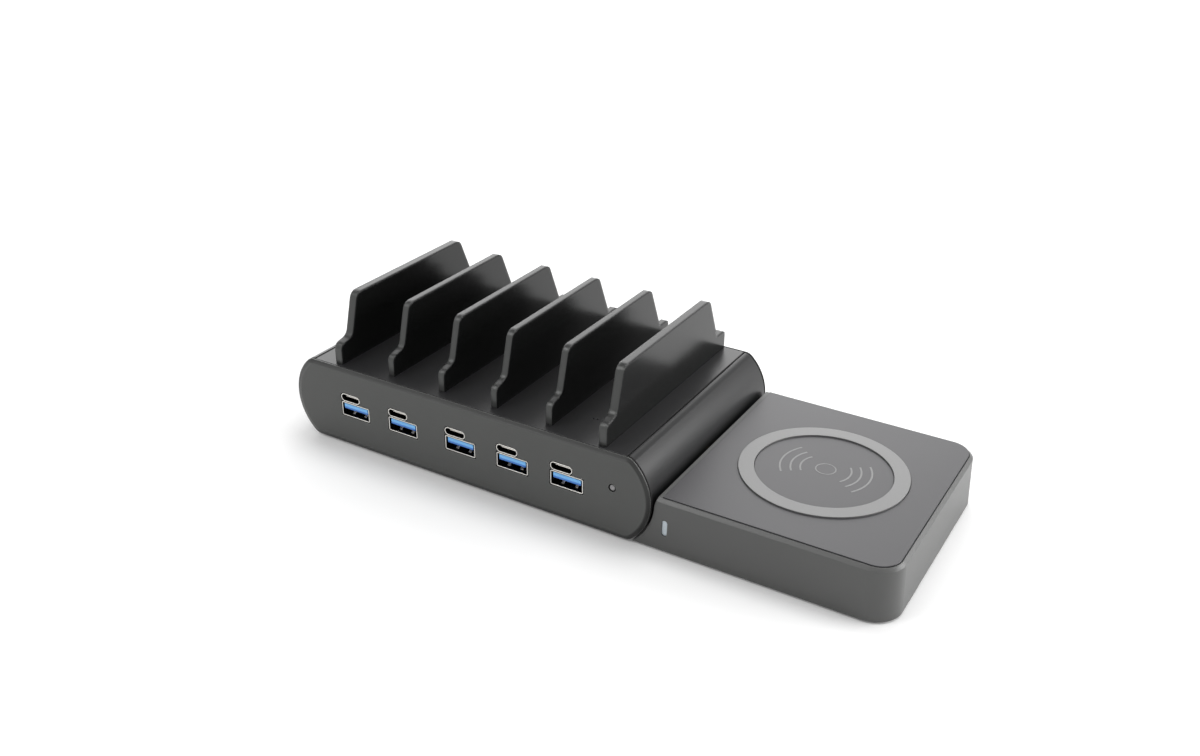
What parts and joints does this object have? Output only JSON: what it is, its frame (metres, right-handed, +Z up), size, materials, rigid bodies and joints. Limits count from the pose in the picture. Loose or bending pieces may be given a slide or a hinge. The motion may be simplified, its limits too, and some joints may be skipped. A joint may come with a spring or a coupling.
{
  "type": "charging station",
  "caption": "Desktop charging station with upright dividers on its deck, paired power sockets along the front and a flat wireless pad nested at its right end.",
  "frame": {"origin": "middle of the footprint on the table, under the feet", "axes": "+X to the right along the front with the sockets, +Y from the front to the back, +Z up"},
  "size_m": [0.239, 0.0942, 0.0584],
  "materials": {
    "housing_plastic": "satin",
    "deck_plastic": "matte",
    "front_plastic": "matte",
    "screw_steel": "satin",
    "rubber": "matte",
    "socket_steel": "bright",
    "blue_plastic": "satin",
    "black_plastic": "matte",
    "lens_plastic": "gloss",
    "board_laminate": "satin",
    "core_ferrite": "matte",
    "winding_tape": "satin",
    "capacitor_can": "satin",
    "sink_aluminium": "satin",
    "contact_brass": "bright",
    "rocker_plastic": "gloss",
    "magnet_nickel": "satin",
    "divider_plastic": "satin",
    "pad_plastic": "satin",
    "pad_top_plastic": "matte",
    "ring_silver": "satin",
    "pad_base_plastic": "matte",
    "light_plastic": "gloss",
    "coil_copper": "satin"
  },
  "bodies": {
    "station": {"housing_shell": "housing_plastic", "deck_plate": "deck_plastic", "front_panel": "front_plastic", "rear_panel": "housing_plastic", "rear_screws": "screw_steel", "rubber_feet": "rubber", "usb_a_shell_1": "socket_steel", "usb_a_shell_2": "socket_steel", "usb_a_shell_3": "socket_steel", "usb_a_shell_4": "socket_steel", "usb_a_shell_5": "socket_steel", "usb_a_tongues": "blue_plastic", "usb_c_shell_1": "socket_steel", "usb_c_shell_2": "socket_steel", "usb_c_shell_3": "socket_steel", "usb_c_shell_4": "socket_steel", "usb_c_shell_5": "socket_steel", "usb_c_tongues": "black_plastic", "indicator_lens": "lens_plastic", "port_board": "board_laminate", "port_screws": "screw_steel", "board_link": "black_plastic", "power_board": "board_laminate", "board_screws": "screw_steel", "transformer_core": "core_ferrite", "transformer_winding": "winding_tape", "large_capacitors": "capacitor_can", "small_capacitors": "capacitor_can", "heat_sink": "sink_aluminium", "filter_choke": "core_ferrite", "mains_inlet": "black_plastic", "inlet_pins": "contact_brass", "switch_frame": "black_plastic", "dock_contacts": "contact_brass", "housing_magnets": "magnet_nickel"},
    "divider_1": {"divider_1": "divider_plastic"},
    "divider_2": {"divider_2": "divider_plastic"},
    "divider_3": {"divider_3": "divider_plastic"},
    "divider_4": {"divider_4": "divider_plastic"},
    "divider_5": {"divider_5": "divider_plastic"},
    "divider_6": {"divider_6": "divider_plastic"},
    "pad": {"pad_cover": "pad_plastic", "pad_top": "pad_top_plastic", "pad_ring": "ring_silver", "pad_base": "pad_base_plastic", "pad_screws": "screw_steel", "pad_feet": "rubber", "pad_light": "light_plastic", "pad_board": "board_laminate", "charge_coil": "coil_copper", "coil_shield": "core_ferrite", "pad_contacts": "contact_brass", "pad_magnets": "magnet_nickel"},
    "rocker": {"switch_rocker": "rocker_plastic"}
  },
  "joints": [
    {"name": "divider_1_lift", "type": "slide", "parent": "station", "child": "divider_1", "axis": [0, 0, 1], "range_m": [0, 0.03]},
    {"name": "divider_2_lift", "type": "slide", "parent": "station", "child": "divider_2", "axis": [0, 0, 1], "range_m": [0, 0.03]},
    {"name": "divider_3_lift", "type": "slide", "parent": "station", "child": "divider_3", "axis": [0, 0, 1], "range_m": [0, 0.03]},
    {"name": "divider_4_lift", "type": "slide", "parent": "station", "child": "divider_4", "axis": [0, 0, 1], "range_m": [0, 0.03]},
    {"name": "divider_5_lift", "type": "slide", "parent": "station", "child": "divider_5", "axis": [0, 0, 1], "range_m": [0, 0.03]},
    {"name": "divider_6_lift", "type": "slide", "parent": "station", "child": "divider_6", "axis": [0, 0, 1], "range_m": [0, 0.03]},
    {"name": "pad_release", "type": "slide", "parent": "station", "child": "pad", "axis": [1, 0, 0], "range_m": [0, 0.03]},
    {"name": "power_switch", "type": "hinge", "parent": "station", "child": "rocker", "pos_m": [-0.06015, 0.0427, 0.0169], "axis": [1, 0, 0], "range_deg": [-16, 0]}
  ]
}
